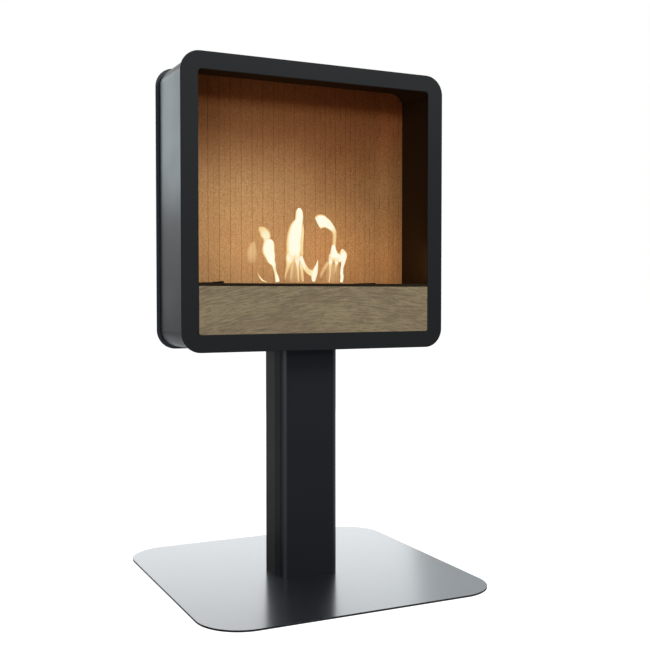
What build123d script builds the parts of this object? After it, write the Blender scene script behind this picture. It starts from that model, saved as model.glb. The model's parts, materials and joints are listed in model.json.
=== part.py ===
from build123d import *
import os

# A bioethanol fireplace: a rounded square head on a boxed column and a steel base plate.
# All lengths are in millimetres. X runs to the viewer's right, Y to the back and Z up.
# The origin is the centre of the base plate's underside, below the column's axis.

# ---------------------------------------------------------------- driving dimensions

# Base plate
base_side = 694.0
base_thickness = 4.0
base_corner = 100.0
base_edge_bevel = 0.7
hang_hole_diameter = 3.0
hang_hole_inset = 13.0

# Column: a rear channel that carries the load, and a cover that closes its front
column_width = 144.0
column_depth = 105.0
column_height = 544.0
cover_depth = 45.0
cover_wall = 1.5
cover_corner = 14.0
spine_wall = 2.5
spine_bend = 5.0
seam_gap = 0.5
flange_thickness = 6.0
flange_front_gap = 1.5

# Screws that join the base plate, the column and the head
foot_screw_diameter = 6.0
foot_screw_head = 11.5
foot_screw_head_height = 2.8
foot_screw_recess = 0.3
foot_screw_pitch_x = 48.0
foot_screw_pitch_y = 56.0
head_bolt_diameter = 8.0
head_bolt_across_flats = 13.0
head_bolt_head_height = 5.3
head_nut_height = 6.5
head_bolt_thread_end = 2.0
head_bolt_pitch_x = 88.0
head_bolt_pitch_y = 52.0
spreader_width = 190.0
spreader_depth = 84.0
spreader_thickness = 3.0
spreader_corner = 10.0

# Clips that hold the cover on the rear channel
clip_thickness = 1.5
clip_height = 30.0
clip_rear_reach = 20.0
clip_front_reach = 20.0
clip_joggle_length = 2.5
clip_level_pitch = 200.0

# Head: front frame, rolled shell, rear panel
head_width = 660.0
head_height = 656.0
head_depth = 196.0
head_forward = 104.0
frame_corner = 45.0
frame_side_band = 40.0
frame_end_band = 39.0
frame_plate = 3.0
frame_edge_bevel = 0.7
opening_top_corner = 8.0
opening_bottom_corner = 5.0
wall_inset = 7.0
shell_wall = 2.0
return_width = 14.0
rear_plate = 3.0
rear_screw_diameter = 5.0
rear_screw_head = 9.0
rear_screw_head_height = 2.6
rear_screw_pitch = 400.0

# Flats on the small fasteners, and on the holes that they fill
screw_sides = 6
head_sides = 6

# Brackets between the front frame and the shell
frame_bracket_plate = 2.0
frame_bracket_reach = 22.0
frame_bracket_depth = 25.0
frame_bracket_height = 30.0
frame_bracket_from_corner = 100.0
bracket_screw_setback = 15.0

# Firebox lining and back board
fit_gap = 0.3
liner_wall = 1.5
board_thickness = 16.0
groove_pitch = 28.0
groove_width = 2.0
groove_depth = 1.0
groove_edge_margin = 18.0
board_clip_plate = 1.2
board_clip_width = 24.0
board_clip_rise = 25.0
board_clip_foot = 20.0
board_clip_pitch = 380.0

# Small screws that are driven into the lining from inside
inner_screw_diameter = 4.0
inner_screw_head = 7.5
inner_screw_head_height = 1.8

# Oak front
oak_height = 107.4
oak_thickness = 18.0
oak_edge_bevel = 0.6
fascia_bracket_plate = 2.0
fascia_bracket_width = 44.0
fascia_bracket_height = 112.0
fascia_bracket_foot = 40.0
fascia_bracket_clearance = 12.0
floor_screw_setback = 32.0
gusset_height = 34.0
gusset_length = 18.0
gusset_thickness = 2.0
wood_screw_diameter = 3.5
wood_screw_head = 7.0
wood_screw_head_height = 2.0
wood_screw_grip = 12.0
wood_screw_pitch = 20.0
wood_screw_drop = 20.0

# Hearth plate and the angles that carry it
lip_height = 6.3
hearth_wall = 2.0
hearth_bend = 1.5
support_wall = 1.5
support_leg = 20.0
support_screw_drop = 11.0
support_rear_gap = 6.0
support_fixing_spacing = 88.0
bearer_thickness = 2.0
bearer_width = 24.0
bearer_seat = 8.0
bearer_overrun = 12.0

# Burner
slot_length = 300.0
slot_width = 40.0
slot_corner = 6.0
burner_end_margin = 30.0
burner_side_margin = 25.0
burner_top_corner = 8.0
collar_depth = 8.0
collar_wall = 1.5
tank_bearer_gap = 7.0
tank_side_margin = 7.0
tank_depth = 62.0
tank_wall = 1.2
tank_corner = 14.0
tank_floor_bevel = 6.0
grid_thickness = 1.0
grid_margin = 3.0
grid_pitch = 12.0
grid_hole_width = 5.0
grid_hole_length = 36.0
core_gap = 5.0

# Sliding shutter, its finger scoop and its rails
shutter_thickness = 1.2
shutter_lift = 0.2
shutter_front_overlap = 3.0
shutter_rear_overlap = 9.0
shutter_board_gap = 3.0
shutter_corner = 3.0
shutter_past_burner = 4.0
shutter_behind_slot = 5.0
grip_reach = 56.0
scoop_length = 46.0
scoop_width = 20.0
scoop_rise = 5.2
scoop_bevel = 1.8
scoop_end_margin = 10.0
rail_plate = 1.0
rail_foot = 8.0
rail_lip = 5.0
rail_gap = 0.3
rail_board_gap = 1.5
rivet_diameter = 3.0
rivet_head = 5.0
rivet_head_height = 1.0
rivet_pitch = 38.0

# ---------------------------------------------------------------- worked-out places

# Heights
column_top = base_thickness + column_height
head_bottom = column_top - wall_inset
head_top = head_bottom + head_height
head_mid = head_bottom + head_height / 2
opening_bottom = head_bottom + frame_end_band
opening_top = head_top - frame_end_band
opening_width = head_width - 2 * frame_side_band
oak_bottom = opening_bottom + fit_gap
oak_top = oak_bottom + oak_height
lip_bottom = oak_top + fit_gap
hearth_top = lip_bottom + lip_height
hearth_under = hearth_top - hearth_wall
collar_bottom = hearth_under - collar_depth
grid_top = collar_bottom
core_top = grid_top - grid_thickness
tank_bottom = hearth_under - tank_depth

# Depths
front_y = -head_forward
rear_y = front_y + head_depth
shell_front = front_y + frame_plate
shell_back = rear_y - rear_plate
return_front = shell_back - shell_wall
board_front = return_front - board_thickness
oak_back = front_y + oak_thickness
shutter_width = slot_width + shutter_front_overlap + shutter_rear_overlap
shutter_travel = shutter_behind_slot + slot_width + shutter_front_overlap
shutter_front = board_front - shutter_board_gap - shutter_width
shutter_y = shutter_front + shutter_width / 2
slot_y = shutter_front - shutter_behind_slot - slot_width / 2

# Insets from the head's outer edge to each nested ring
shell_inset = wall_inset + shell_wall
liner_inset = shell_inset + fit_gap
lining_inset = liner_inset + liner_wall
board_inset = lining_inset + fit_gap / 2

# Inner faces of the lining
lining_x = head_width / 2 - lining_inset
lining_floor = head_bottom + lining_inset
lining_ceiling = head_top - lining_inset

# Middles of the frame brackets, and of the fascia brackets beside them on the floor
frame_bracket_x = head_width / 2 - frame_bracket_from_corner
frame_bracket_z = head_height / 2 - frame_bracket_from_corner
frame_bracket_inner = frame_bracket_x - frame_bracket_height / 2
fascia_bracket_x = frame_bracket_inner - fascia_bracket_clearance - fascia_bracket_width / 2

# Burner top, and the tank between its bearers
burner_top_length = slot_length + 2 * burner_end_margin
burner_top_width = slot_width + 2 * burner_side_margin
tank_length = burner_top_length - 2 * (bearer_seat + tank_bearer_gap)
tank_width = burner_top_width - 2 * tank_side_margin

# Ends of the shutter
burner_end = burner_top_length / 2
shutter_right = burner_end + shutter_past_burner
shutter_left = -burner_end - shutter_past_burner - grip_reach
shutter_under = hearth_top + shutter_lift
shutter_top = shutter_under + shutter_thickness


# ---------------------------------------------------------------- drawing helpers

def slab(outline, y_front, depth):
    """A front-view outline (x right, z up), carried back by depth from y_front."""
    sheet = Plane(origin=(0, y_front, 0), x_dir=(1, 0, 0), z_dir=(0, -1, 0))
    return extrude(sheet * outline, -depth)


def side_slab(points, x_left, width):
    """A side-view polygon of (y, z) points, carried to the right by width from x_left."""
    sheet = Plane(origin=(x_left, 0, 0), x_dir=(0, 1, 0), z_dir=(1, 0, 0))
    return extrude(sheet * make_face(Polyline(*points, close=True)), width)


def plate(outline, z_low, height):
    """A plan-view outline, carried up by height from z_low."""
    return extrude(Plane.XY.offset(z_low) * outline, height)


def head_outline(inset):
    """The head's rounded square, drawn inside its outer edge by inset."""
    width = head_width - 2 * inset
    height = head_height - 2 * inset
    return Pos(0, head_mid) * RectangleRounded(width, height, frame_corner - inset)


def facing(place, direction, shape):
    """A shape that was drawn along +Z, set at a place with its Z along direction."""
    return Plane(origin=place, z_dir=direction) * shape


def stud(diameter, length):
    """A faceted shank that fits in a round of the given diameter, standing on z = 0."""
    return extrude(RegularPolygon(diameter / 2, screw_sides), length)


def screw(diameter, head, head_height, grip):
    """A hexagon screw: its head stands on z = 0 and its shank runs down to -grip."""
    cap = extrude(RegularPolygon(head / 2, head_sides), head_height)
    return cap + Pos(0, 0, -grip) * stud(diameter, grip)


def countersunk_screw(diameter, head, head_height, length):
    """A flat-headed screw that stands on its head: the head's flat is at z = 0."""
    wide = RegularPolygon(head / 2, screw_sides)
    narrow = Pos(0, 0, head_height) * RegularPolygon(diameter / 2, screw_sides)
    return loft([wide, narrow], ruled=True) + stud(diameter, length)


def both_sides(shape):
    """A right-hand solid and its mirror image on the left."""
    return [shape, mirror(shape, Plane.YZ)]


def corners_of(pitch_x, pitch_y):
    """The four corners of a rectangle of the given pitches, as (x, y) pairs."""
    return [(sx * pitch_x / 2, sy * pitch_y / 2) for sx in (-1, 1) for sy in (-1, 1)]


# ---------------------------------------------------------------- base and column

def foot_screw_places():
    """Two rows of three screw places under the column, as (x, y) pairs."""
    rows = (-foot_screw_pitch_y / 2, foot_screw_pitch_y / 2)
    return [(step * foot_screw_pitch_x, y) for step in (-1, 0, 1) for y in rows]


def foot_screws():
    """Countersunk screws from below the base plate, up into the foot flange."""
    length = base_thickness + flange_thickness - foot_screw_recess
    one = countersunk_screw(
        foot_screw_diameter, foot_screw_head, foot_screw_head_height, length
    )
    return [Pos(x, y, foot_screw_recess) * one for x, y in foot_screw_places()]


def base_plate():
    """Steel plate with wide corners, a bevelled top edge and a small hanging hole."""
    body = plate(RectangleRounded(base_side, base_side, base_corner), 0, base_thickness)
    body = chamfer(body.faces().sort_by(Axis.Z)[-1].edges(), base_edge_bevel)
    hole_x = -base_side / 2 + hang_hole_inset
    body -= Pos(hole_x, 0, base_thickness / 2) * Cylinder(hang_hole_diameter / 2, base_thickness)
    recess = stud(foot_screw_head, foot_screw_recess)
    recesses = [Pos(x, y, 0) * recess for x, y in foot_screw_places()]
    return body - recesses - foot_screws()


def channel_outline(width, depth, wall, bend):
    """A folded U in plan view: its web lies on y = 0 and its legs run to y = depth."""
    outer = Pos(0, depth / 2) * Rectangle(width, depth)
    outer = fillet(outer.vertices().group_by(Axis.Y)[0], bend)
    inner = Pos(0, wall + depth / 2) * Rectangle(width - 2 * wall, depth)
    inner = fillet(inner.vertices().group_by(Axis.Y)[0], bend - wall)
    return outer - inner


def column_cover():
    """Front half of the column: a thin folded channel with large corners."""
    outline = channel_outline(column_width, cover_depth, cover_wall, cover_corner)
    return plate(Pos(0, -column_depth / 2) * outline, base_thickness, column_height)


def column_spine():
    """Rear half of the column: the thicker folded channel that carries the head."""
    depth = column_depth - cover_depth - seam_gap
    outline = channel_outline(column_width, depth, spine_wall, spine_bend)
    return plate(Rot(0, 0, 180) * Pos(0, -column_depth / 2) * outline, base_thickness, column_height)


def flange_outline():
    """The plate that fills the column's inside: welded to the spine, clear of the cover."""
    width = column_width - 2 * spine_wall
    front = -column_depth / 2 + cover_wall + flange_front_gap
    back = column_depth / 2 - spine_wall
    outline = Pos(0, (front + back) / 2) * Rectangle(width, back - front)
    outline = fillet(outline.vertices().group_by(Axis.Y)[0], cover_corner - cover_wall)
    return fillet(outline.vertices().group_by(Axis.Y)[-1], spine_bend - spine_wall)


def foot_flange():
    """Thick plate inside the column's foot, tapped for the foot screws."""
    return plate(flange_outline(), base_thickness, flange_thickness) - foot_screws()


def top_flange():
    """Thick plate inside the column's top, drilled for the head bolts."""
    return plate(flange_outline(), column_top - flange_thickness, flange_thickness) - head_bolts()


def cover_clips():
    """Joggled strips, welded inside the spine, that the cover's walls push over."""
    spine_face = column_width / 2 - spine_wall
    cover_face = column_width / 2 - cover_wall
    seam = -column_depth / 2 + cover_depth
    rear = seam + seam_gap + clip_rear_reach
    front = seam - clip_front_reach
    step = seam - clip_joggle_length
    outline = Polyline(
        (spine_face, rear), (spine_face, seam), (cover_face, step), (cover_face, front),
        (cover_face - clip_thickness, front), (cover_face - clip_thickness, step),
        (spine_face - clip_thickness, seam), (spine_face - clip_thickness, rear), close=True,
    )
    one = plate(make_face(outline), 0, clip_height)
    middle = base_thickness + column_height / 2 - clip_height / 2
    levels = [middle + step * clip_level_pitch for step in (-1, 0, 1)]
    return [Pos(0, 0, z) * clip for z in levels for clip in both_sides(one)]


def head_bolts():
    """Hexagon bolts from inside the head, down through the column's top flange."""
    stack = lining_floor + spreader_thickness - column_top + flange_thickness
    length = stack + head_nut_height + head_bolt_thread_end
    cap = extrude(RegularPolygon(head_bolt_across_flats / 2, 6, major_radius=False),
                  head_bolt_head_height)
    shank = Pos(0, 0, -length) * stud(head_bolt_diameter, length)
    seat = lining_floor + spreader_thickness
    places = corners_of(head_bolt_pitch_x, head_bolt_pitch_y)
    return [Pos(x, y, seat) * (cap + shank) for x, y in places]


def head_nuts():
    """Hexagon nuts below the column's top flange."""
    one = extrude(RegularPolygon(head_bolt_across_flats / 2, 6, major_radius=False),
                  head_nut_height)
    one -= stud(head_bolt_diameter, head_nut_height)
    low = column_top - flange_thickness - head_nut_height
    places = corners_of(head_bolt_pitch_x, head_bolt_pitch_y)
    return [Pos(x, y, low) * one for x, y in places]


def spreader_plate():
    """Plate on the firebox floor that spreads the bolts' load."""
    outline = RectangleRounded(spreader_width, spreader_depth, spreader_corner)
    return plate(outline, lining_floor, spreader_thickness) - head_bolts()


# ---------------------------------------------------------------- head

def rear_screw_places():
    """Two screw places along each side of the shell's rear return, as (x, z) pairs."""
    inset = shell_inset + return_width / 2
    side = head_width / 2 - inset
    end = head_height / 2 - inset
    places = []
    for sign in (-1, 1):
        for step in (-0.5, 0.5):
            places.append((sign * side, head_mid + step * rear_screw_pitch))
            places.append((step * rear_screw_pitch, head_mid + sign * end))
    return places


def rear_screws():
    """Screws through the rear panel into the shell's return."""
    one = screw(rear_screw_diameter, rear_screw_head, rear_screw_head_height,
                rear_plate + shell_wall)
    return [facing((x, rear_y, z), (0, 1, 0), one) for x, z in rear_screw_places()]


def bracket_screws():
    """Small screws that hold the frame brackets to the lining."""
    one = screw(inner_screw_diameter, inner_screw_head, inner_screw_head_height,
                frame_bracket_plate + liner_wall)
    y = shell_front + bracket_screw_setback
    side = lining_x - frame_bracket_plate
    end = lining_ceiling - head_mid - frame_bracket_plate
    screws = []
    for sign in (-1, 1):
        for step in (-1, 1):
            low = head_mid + step * frame_bracket_z
            screws.append(facing((sign * side, y, low), (-sign, 0, 0), one))
            across = step * frame_bracket_x
            screws.append(facing((across, y, head_mid + sign * end), (0, 0, -sign), one))
    return screws


def board_clip_screws():
    """Small screws that hold the board clips down on the firebox floor."""
    one = screw(inner_screw_diameter, inner_screw_head, inner_screw_head_height,
                board_clip_plate + liner_wall)
    y = board_front - board_clip_plate - board_clip_foot / 2
    top = lining_floor + board_clip_plate
    return [facing((sx * board_clip_pitch / 2, y, top), (0, 0, 1), one) for sx in (-1, 1)]


def support_screws():
    """Small screws that hold the hearth supports to the firebox walls."""
    one = screw(inner_screw_diameter, inner_screw_head, inner_screw_head_height,
                support_wall + liner_wall)
    x = lining_x - support_wall
    z = hearth_under - support_screw_drop
    middle = (support_front() + board_front - support_rear_gap) / 2
    screws = []
    for sign in (-1, 1):
        for step in (-0.5, 0.5):
            place = (sign * x, middle + step * support_fixing_spacing, z)
            screws.append(facing(place, (-sign, 0, 0), one))
    return screws


def fascia_screws():
    """Screws of the oak's brackets: two up into the oak, one down through the floor each."""
    wood = screw(wood_screw_diameter, wood_screw_head, wood_screw_head_height,
                 fascia_bracket_plate + wood_screw_grip)
    floor = screw(inner_screw_diameter, inner_screw_head, inner_screw_head_height,
                  fascia_bracket_plate + liner_wall)
    face = oak_back + fascia_bracket_plate
    top_row = lining_floor + fascia_bracket_height - wood_screw_drop
    screws = []
    for sign in (-1, 1):
        middle = sign * fascia_bracket_x
        for side in (-0.5, 0.5):
            place = (middle + side * wood_screw_pitch, face, top_row)
            screws.append(facing(place, (0, 1, 0), wood))
        foot = (middle, oak_back + floor_screw_setback, lining_floor + fascia_bracket_plate)
        screws.append(facing(foot, (0, 0, 1), floor))
    return screws


def front_frame():
    """Flat front ring with bevelled edges round the square opening."""
    height = opening_top - opening_bottom
    opening = Pos(0, (opening_top + opening_bottom) / 2) * Rectangle(opening_width, height)
    opening = fillet(opening.vertices().group_by(Axis.Y)[-1], opening_top_corner)
    opening = fillet(opening.vertices().group_by(Axis.Y)[0], opening_bottom_corner)
    ring = slab(head_outline(0) - opening, front_y, frame_plate)
    return chamfer(ring.faces().sort_by(Axis.Y)[0].edges(), frame_edge_bevel)


def outer_shell():
    """Rolled casing with an inward return at the back for the rear panel's screws."""
    wall = head_outline(wall_inset) - head_outline(shell_inset)
    lip = head_outline(wall_inset) - head_outline(shell_inset + return_width)
    casing = slab(wall, shell_front, return_front - shell_front)
    casing += slab(lip, return_front, shell_wall)
    return casing - head_bolts() - rear_screws()


def rear_panel():
    """Flat rear plate that stands out past the shell all round, like the front frame."""
    return slab(head_outline(0), shell_back, rear_plate) - rear_screws()


def frame_bracket(wall):
    """Angle between the frame's back and a wall that stands at x = wall."""
    reach = wall - frame_bracket_reach
    back = shell_front + frame_bracket_depth
    inner_x = wall - frame_bracket_plate
    inner_y = shell_front + frame_bracket_plate
    outline = Polyline(
        (reach, shell_front), (wall, shell_front), (wall, back), (inner_x, back),
        (inner_x, inner_y), (reach, inner_y), close=True,
    )
    return plate(make_face(outline), -frame_bracket_height / 2, frame_bracket_height)


def frame_brackets():
    """Two angles on each side of the frame, hidden behind its band."""
    side = frame_bracket(lining_x)
    end = Rot(0, -90, 0) * frame_bracket(lining_ceiling - head_mid)
    brackets = []
    for step in (-1, 1):
        brackets += both_sides(Pos(0, 0, head_mid + step * frame_bracket_z) * side)
        across = Pos(step * frame_bracket_x, 0, head_mid)
        brackets += [across * end, across * mirror(end, Plane.XY)]
    screws = bracket_screws()
    return [bracket - screws for bracket in brackets]


def firebox_liner():
    """Thin folded ring that lines the shell from the frame to the rear return."""
    ring = head_outline(liner_inset) - head_outline(lining_inset)
    liner = slab(ring, shell_front, return_front - shell_front)
    inner_screws = bracket_screws() + board_clip_screws() + support_screws() + fascia_screws()
    return liner - head_bolts() - inner_screws


def back_board():
    """Fireproof board with narrow V grooves down its front face."""
    board = slab(head_outline(board_inset), board_front, board_thickness)
    half = groove_width / 2
    groove = make_face(Polyline(
        (-half, board_front - half), (-half, board_front), (0, board_front + groove_depth),
        (half, board_front), (half, board_front - half), close=True,
    ))
    cutter = plate(groove, head_bottom, head_height)
    span = head_width / 2 - board_inset - groove_edge_margin
    count = int(span / groove_pitch + 0.5)
    places = [(i + 0.5) * groove_pitch for i in range(-count, count)]
    return board - [Pos(x, 0, 0) * cutter for x in places]


def board_clips():
    """Folded clips on the floor that keep the board's foot back against the return."""
    face = board_front
    front = face - board_clip_plate - board_clip_foot
    high = lining_floor + board_clip_rise
    over = lining_floor + board_clip_plate
    points = [
        (front, lining_floor), (face, lining_floor), (face, high),
        (face - board_clip_plate, high), (face - board_clip_plate, over), (front, over),
    ]
    one = side_slab(points, -board_clip_width / 2, board_clip_width)
    clips = [Pos(sx * board_clip_pitch / 2, 0, 0) * one for sx in (-1, 1)]
    return [clip - board_clip_screws() for clip in clips]


# ---------------------------------------------------------------- oak front

def oak_front():
    """Solid oak board that fills the foot of the opening, flush with the frame."""
    width = opening_width - 2 * fit_gap
    board = Pos(0, (oak_bottom + oak_top) / 2) * Rectangle(width, oak_height)
    board = fillet(board.vertices().group_by(Axis.Y)[0], opening_bottom_corner - fit_gap)
    body = slab(board, front_y, oak_thickness)
    body = chamfer(body.faces().sort_by(Axis.Y)[0].edges(), oak_edge_bevel)
    return body - fascia_screws()


def fascia_brackets():
    """Two folded angles with gussets that stand on the floor behind the oak."""
    leg = oak_back + fascia_bracket_plate
    foot = oak_back + fascia_bracket_foot
    top = lining_floor + fascia_bracket_height
    low = lining_floor + fascia_bracket_plate
    points = [
        (oak_back, lining_floor), (foot, lining_floor), (foot, low),
        (leg, low), (leg, top), (oak_back, top),
    ]
    angle = side_slab(points, -fascia_bracket_width / 2, fascia_bracket_width)
    rib_points = [(leg, low), (leg + gusset_length, low), (leg, low + gusset_height)]
    rib = side_slab(rib_points, -gusset_thickness / 2, gusset_thickness)
    one = angle + rib
    places = [Pos(sx * fascia_bracket_x, 0, 0) for sx in (-1, 1)]
    return [place * one - fascia_screws() for place in places]


# ---------------------------------------------------------------- hearth

def support_front():
    """Depth at which the hearth supports start, clear behind the frame brackets."""
    return shell_front + frame_bracket_depth + fit_gap


def rail_rivets():
    """Rivets through the shutter rails and the hearth plate."""
    one = screw(rivet_diameter, rivet_head, rivet_head_height, rail_plate + hearth_wall)
    offset = rail_gap + rail_plate + rail_foot / 2
    middle = (rail_front() + rail_back()) / 2
    rivets = []
    for x in (shutter_left - offset, shutter_right + offset):
        for step in (-1, 0, 1):
            place = (x, middle + step * rivet_pitch, hearth_top + rail_plate)
            rivets.append(facing(place, (0, 0, 1), one))
    return rivets


def hearth_plate():
    """Folded plate round the burner, with a lip that closes the gap above the oak."""
    back = board_front - fit_gap
    shoulder = shell_front + fit_gap
    front_half = opening_width / 2 - fit_gap
    rear_half = lining_x - fit_gap
    outline = make_face(Polyline(
        (-front_half, front_y), (front_half, front_y), (front_half, shoulder),
        (rear_half, shoulder), (rear_half, back), (-rear_half, back),
        (-rear_half, shoulder), (-front_half, shoulder), close=True,
    ))
    aperture_length = burner_top_length + 2 * fit_gap
    aperture_width = burner_top_width + 2 * fit_gap
    aperture = RectangleRounded(aperture_length, aperture_width, burner_top_corner + fit_gap)
    body = plate(outline - Pos(0, slot_y) * aperture, hearth_under, hearth_wall)
    body += Pos(0, front_y + hearth_wall / 2, (lip_bottom + hearth_top) / 2) * Box(
        2 * front_half, hearth_wall, lip_height
    )
    edges = body.edges().filter_by(Axis.X).filter_by_position(Axis.Z, hearth_top, hearth_top)
    body = fillet(edges.sort_by(Axis.Y)[0], hearth_bend)
    return body - rail_rivets()


def hearth_supports():
    """Angles along the firebox walls that the hearth plate lies on."""
    front = support_front()
    length = board_front - support_rear_gap - front
    low = hearth_under - support_leg
    outline = Polyline(
        (lining_x, low), (lining_x, hearth_under), (lining_x - support_leg, hearth_under),
        (lining_x - support_leg, hearth_under - support_wall),
        (lining_x - support_wall, hearth_under - support_wall),
        (lining_x - support_wall, low), close=True,
    )
    right = slab(make_face(outline), front, length)
    return [angle - support_screws() for angle in both_sides(right)]


def burner_bearers():
    """Flat strips under the ends of the burner aperture that carry the burner's top."""
    inner = burner_end - bearer_seat
    length = burner_top_width + 2 * bearer_overrun
    strip = Pos(inner + bearer_width / 2, slot_y) * Rectangle(bearer_width, length)
    right = plate(strip, hearth_under - bearer_thickness, bearer_thickness)
    return both_sides(right)


# ---------------------------------------------------------------- burner

def tub(length, width, corner, depth, floor_bevel):
    """A pressed tub: its rounded mouth is at z = 0 and its floor's edge is bevelled."""
    body = plate(RectangleRounded(length, width, corner), -depth, depth)
    return chamfer(body.faces().sort_by(Axis.Z)[0].edges(), floor_bevel)


def burner_tank():
    """Pressed stainless tank, open at the top, that hangs below the burner's top."""
    outer = tub(tank_length, tank_width, tank_corner, tank_depth, tank_floor_bevel)
    inner = tub(
        tank_length - 2 * tank_wall, tank_width - 2 * tank_wall, tank_corner - tank_wall,
        tank_depth - tank_wall, tank_floor_bevel - tank_wall,
    )
    return Pos(0, slot_y, hearth_under) * (outer - inner)


def burner_top():
    """Flush stainless top with the burning slot, which has a turned-down collar."""
    outline = RectangleRounded(burner_top_length, burner_top_width, burner_top_corner)
    slot = RectangleRounded(slot_length, slot_width, slot_corner)
    rim = RectangleRounded(
        slot_length + 2 * collar_wall, slot_width + 2 * collar_wall, slot_corner + collar_wall
    )
    top = plate(outline - slot, hearth_under, hearth_wall)
    collar = plate(rim - slot, collar_bottom, collar_depth + hearth_wall / 2)
    return Pos(0, slot_y, 0) * (top + collar)


def burner_grid():
    """Slotted grid pressed between the collar and the ceramic core."""
    length = slot_length + 2 * collar_wall + 2 * grid_margin
    width = slot_width + 2 * collar_wall + 2 * grid_margin
    count = int((slot_length / 2 - grid_hole_width) / grid_pitch)
    hole = Rectangle(grid_hole_width, grid_hole_length)
    holes = [Pos(i * grid_pitch, 0) * hole for i in range(-count, count + 1)]
    outline = RectangleRounded(length, width, slot_corner) - holes
    return Pos(0, slot_y, 0) * plate(outline, core_top, grid_thickness)


def ceramic_core():
    """Porous ceramic block that soaks up the fuel, standing on the tank's floor."""
    shrink = 2 * (tank_wall + core_gap)
    corner = tank_corner - tank_wall - core_gap
    outline = RectangleRounded(tank_length - shrink, tank_width - shrink, corner)
    low = tank_bottom + tank_wall
    return Pos(0, slot_y, 0) * plate(outline, low, core_top - low)


# ---------------------------------------------------------------- shutter

def rail_front():
    """Depth of the front end of the shutter rails, just ahead of the closed shutter."""
    return shutter_front - shutter_travel - rail_gap - rail_plate


def rail_back():
    """Depth of the rear end of the shutter rails."""
    return board_front - rail_board_gap


def scoop_wedge(sink):
    """Wedge along X that rises to the right, with bevelled long edges, sunk by sink."""
    right = shutter_left + scoop_end_margin + scoop_length
    left = shutter_left + scoop_end_margin
    width = scoop_width - 2 * sink
    base = shutter_top - shutter_thickness / 2 - sink
    outline = make_face(Polyline(
        (left, base), (right, base), (right, shutter_top + scoop_rise - sink),
        (left, shutter_top - sink), close=True,
    ))
    body = slab(outline, shutter_y - width / 2, width)
    ridge = body.faces().sort_by(lambda f: f.normal_at().Z)[-1]
    long_edges = ridge.edges().filter_by(lambda e: abs(e.tangent_at(0).Y) < 0.5)
    return chamfer(long_edges, scoop_bevel)


def shutter():
    """Flat lid that parks behind the slot, with a pressed scoop for a fingertip."""
    length = shutter_right - shutter_left
    outline = RectangleRounded(length, shutter_width, shutter_corner)
    middle = (shutter_right + shutter_left) / 2
    lid = plate(Pos(middle, shutter_y) * outline, shutter_under, shutter_thickness)
    right = shutter_left + scoop_end_margin + scoop_length
    hollow = scoop_wedge(shutter_thickness)
    below = Pos(0, 0, -shutter_thickness) * hollow
    mouth_x = right - shutter_thickness / 2
    mouth_z = shutter_top + scoop_rise / 2 - shutter_thickness
    mouth = Pos(mouth_x, shutter_y, mouth_z) * Box(
        2 * shutter_thickness, scoop_width - 2 * shutter_thickness, scoop_rise
    )
    pressed = lid + scoop_wedge(0)
    return pressed - hollow - below - (mouth & Pos(shutter_thickness, 0, 0) * hollow)


def shutter_rails():
    """Z-folded rails at the shutter's ends, each with a stop at its front."""
    web_top = shutter_top + rail_gap + rail_plate
    lip_low = shutter_top + rail_gap
    foot_top = hearth_top + rail_plate

    def rail(edge_x, sign):
        web = edge_x + sign * rail_gap
        back = web + sign * rail_plate
        outline = make_face(Polyline(
            (web - sign * rail_lip, web_top), (back, web_top), (back, foot_top),
            (back + sign * rail_foot, foot_top), (back + sign * rail_foot, hearth_top),
            (web, hearth_top), (web, lip_low), (web - sign * rail_lip, lip_low), close=True,
        ))
        body = slab(outline, rail_front(), rail_back() - rail_front())
        stop = Pos(web - sign * rail_lip / 2, rail_front() + rail_plate / 2,
                   (hearth_top + web_top) / 2)
        body += stop * Box(rail_lip, rail_plate, web_top - hearth_top)
        return body - rail_rivets()

    return [rail(shutter_left, -1), rail(shutter_right, 1)]


# ---------------------------------------------------------------- the set of pieces

pieces = {
    "base_plate": base_plate,
    "foot_screws": foot_screws,
    "foot_flange": foot_flange,
    "column_spine": column_spine,
    "column_cover": column_cover,
    "cover_clips": cover_clips,
    "top_flange": top_flange,
    "head_bolts": head_bolts,
    "head_nuts": head_nuts,
    "spreader_plate": spreader_plate,
    "front_frame": front_frame,
    "frame_brackets": frame_brackets,
    "bracket_screws": bracket_screws,
    "outer_shell": outer_shell,
    "rear_panel": rear_panel,
    "rear_screws": rear_screws,
    "firebox_liner": firebox_liner,
    "back_board": back_board,
    "board_clips": board_clips,
    "board_clip_screws": board_clip_screws,
    "oak_front": oak_front,
    "fascia_brackets": fascia_brackets,
    "fascia_screws": fascia_screws,
    "hearth_plate": hearth_plate,
    "hearth_supports": hearth_supports,
    "support_screws": support_screws,
    "burner_bearers": burner_bearers,
    "burner_top": burner_top,
    "burner_tank": burner_tank,
    "burner_grid": burner_grid,
    "ceramic_core": ceramic_core,
    "shutter_rails": shutter_rails,
    "rail_rivets": rail_rivets,
    "shutter": shutter,
}

os.makedirs("parts", exist_ok=True)
for name, make in pieces.items():
    made = make()
    shape = Compound(children=made) if isinstance(made, list) else made
    export_step(shape, os.path.join("parts", name + ".step"))
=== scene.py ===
import json
import math

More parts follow.
